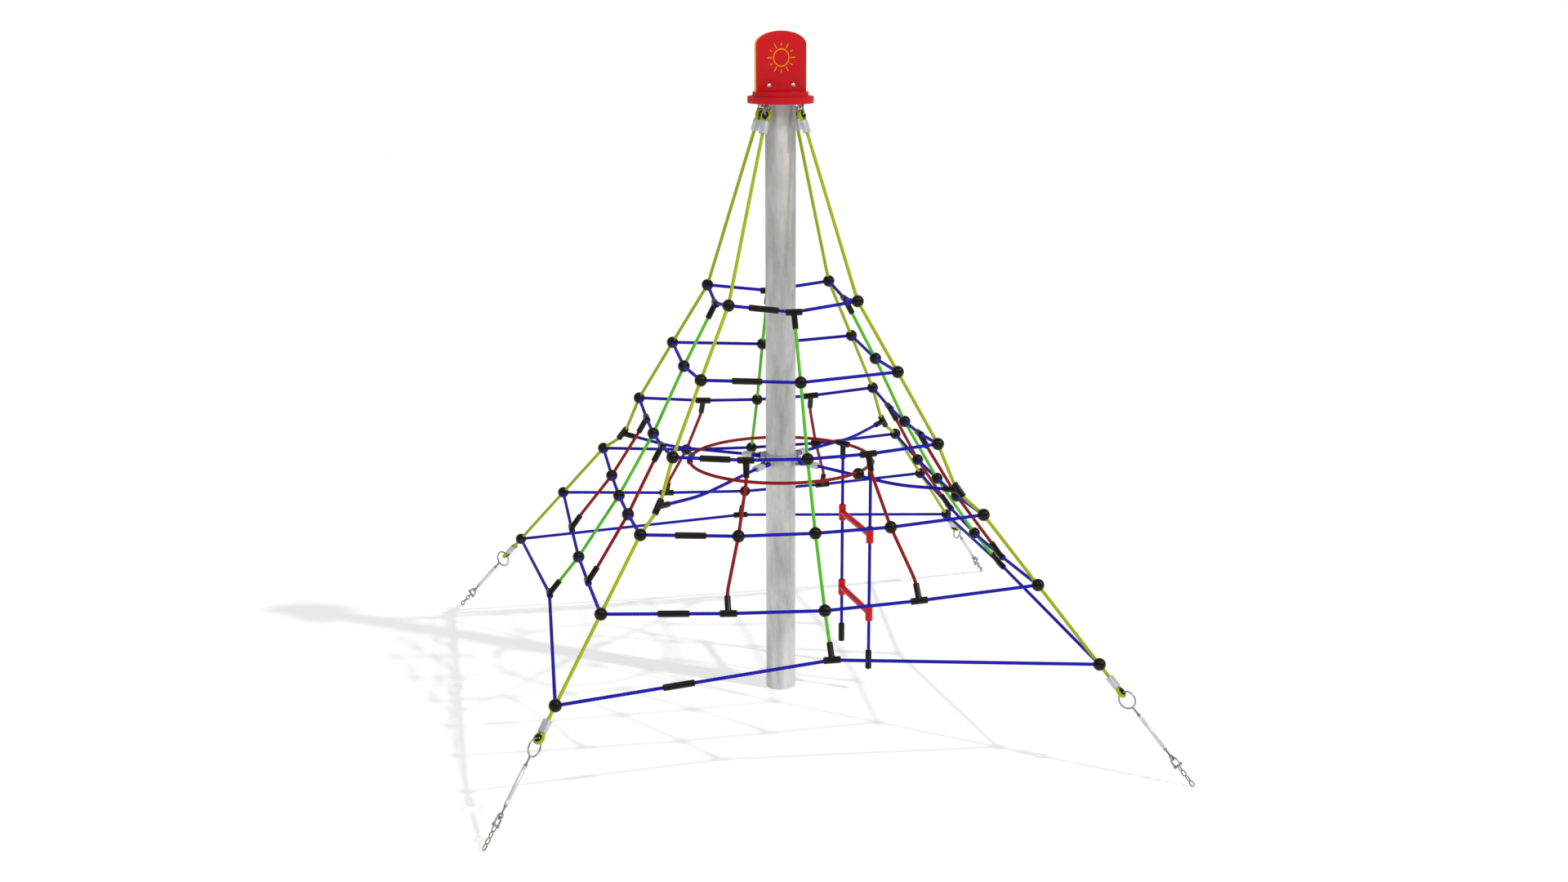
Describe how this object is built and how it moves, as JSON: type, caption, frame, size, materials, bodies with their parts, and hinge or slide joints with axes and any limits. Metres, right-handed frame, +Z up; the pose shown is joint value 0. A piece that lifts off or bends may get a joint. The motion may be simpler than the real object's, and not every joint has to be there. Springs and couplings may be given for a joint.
{
  "type": "rope pyramid climber",
  "caption": "Playground rope pyramid climber: a steel mast with a square net of rope rings, an inner hoop and a hanging rope ladder, tied down at its corners.",
  "frame": {"origin": "on the ground at the foot of the mast's axis", "axes": "+Z up along the mast; the sides of the square net face +X, +Y, -X and -Y, and the anchors stand on the diagonals"},
  "size_m": [2.9918, 2.9918, 3.11],
  "materials": {
    "galvanised_steel": "hot-dip galvanised, satin",
    "red_panel": "satin polyethylene sheet, red skins on a yellow core",
    "stainless_bolt": "polished",
    "bright_zinc": "bright zinc",
    "dull_chain": "dull galvanised",
    "pressed_aluminium": "satin",
    "black_thimble": "moulded plastic",
    "yellow_rope": "six-strand polyester-covered steel rope, yellow-green with dark tracers",
    "blue_rope": "six-strand polyester-covered steel rope, blue with dark tracers",
    "green_rope": "six-strand polyester-covered steel rope, bright green",
    "red_rope": "six-strand polyester-covered steel rope, red with dark tracers",
    "red_rung": "moulded plastic",
    "black_connector": "moulded plastic, satin"
  },
  "bodies": {
    "root": {"mast": "galvanised_steel", "head_plate": "galvanised_steel", "cap_disc": "red_panel", "cap_ring": "red_panel", "sign_panel": "red_panel", "panel_brackets": "galvanised_steel", "panel_bolts": "stainless_bolt", "cap_screws": "stainless_bolt", "shackle_bows": "bright_zinc", "shackle_pins": "bright_zinc", "thimbles": "black_thimble", "ferrules": "pressed_aluminium", "main_rope_1": "yellow_rope", "main_rope_2": "yellow_rope", "main_rope_3": "yellow_rope", "main_rope_4": "yellow_rope", "ring_rope_1": "blue_rope", "ring_rope_2": "blue_rope", "ring_rope_3": "blue_rope", "ring_rope_4": "blue_rope", "ring_rope_5": "blue_rope", "ring_rope_6": "blue_rope", "side_rope_1": "green_rope", "side_rope_2": "green_rope", "side_rope_3": "green_rope", "side_rope_4": "green_rope", "brace_ropes_1": "red_rope", "brace_ropes_2": "red_rope", "brace_ropes_3": "red_rope", "brace_ropes_4": "red_rope", "corner_balls": "black_connector", "side_balls": "black_connector", "brace_balls": "black_connector", "low_side_tees": "black_connector", "top_side_tees": "black_connector", "low_brace_tees": "black_connector", "top_brace_tees": "black_connector", "ring_sleeves": "black_connector", "collar_halves": "galvanised_steel", "collar_bolts": "stainless_bolt", "inner_ropes": "blue_rope", "inner_tees": "black_connector", "hoop_rope": "red_rope", "hoop_ball": "black_connector", "hoop_sleeve": "black_connector", "ladder_tees": "black_connector", "ring_rods": "bright_zinc", "lock_nuts": "bright_zinc", "eye_rods": "bright_zinc", "anchor_chains": "dull_chain"},
    "ladder": {"ladder_rope_front": "blue_rope", "ladder_rope_back": "blue_rope", "ladder_rungs": "red_rung", "ladder_end_sleeves": "black_connector"},
    "tensioner_1": {"turnbuckle_1": "bright_zinc"},
    "tensioner_2": {"turnbuckle_2": "bright_zinc"},
    "tensioner_3": {"turnbuckle_3": "bright_zinc"},
    "tensioner_4": {"turnbuckle_4": "bright_zinc"}
  },
  "joints": [
    {"name": "ladder_swing", "type": "hinge", "parent": "root", "child": "ladder", "pos_m": [0.37765, 0.03769, 1.04922], "axis": [-0.0993, 0.9951, 0], "range_deg": [-30, 15]},
    {"name": "tensioner_1_turn", "type": "hinge", "parent": "root", "child": "tensioner_1", "pos_m": [1.17115, 1.17115, 0.458], "axis": [0.5, 0.5, -0.7071], "continuous": true},
    {"name": "tensioner_2_turn", "type": "hinge", "parent": "root", "child": "tensioner_2", "pos_m": [-1.17115, 1.17115, 0.458], "axis": [-0.5, 0.5, -0.7071], "continuous": true},
    {"name": "tensioner_3_turn", "type": "hinge", "parent": "root", "child": "tensioner_3", "pos_m": [-1.17115, -1.17115, 0.458], "axis": [-0.5, -0.5, -0.7071], "continuous": true},
    {"name": "tensioner_4_turn", "type": "hinge", "parent": "root", "child": "tensioner_4", "pos_m": [1.17115, -1.17115, 0.458], "axis": [0.5, -0.5, -0.7071], "continuous": true}
  ]
}
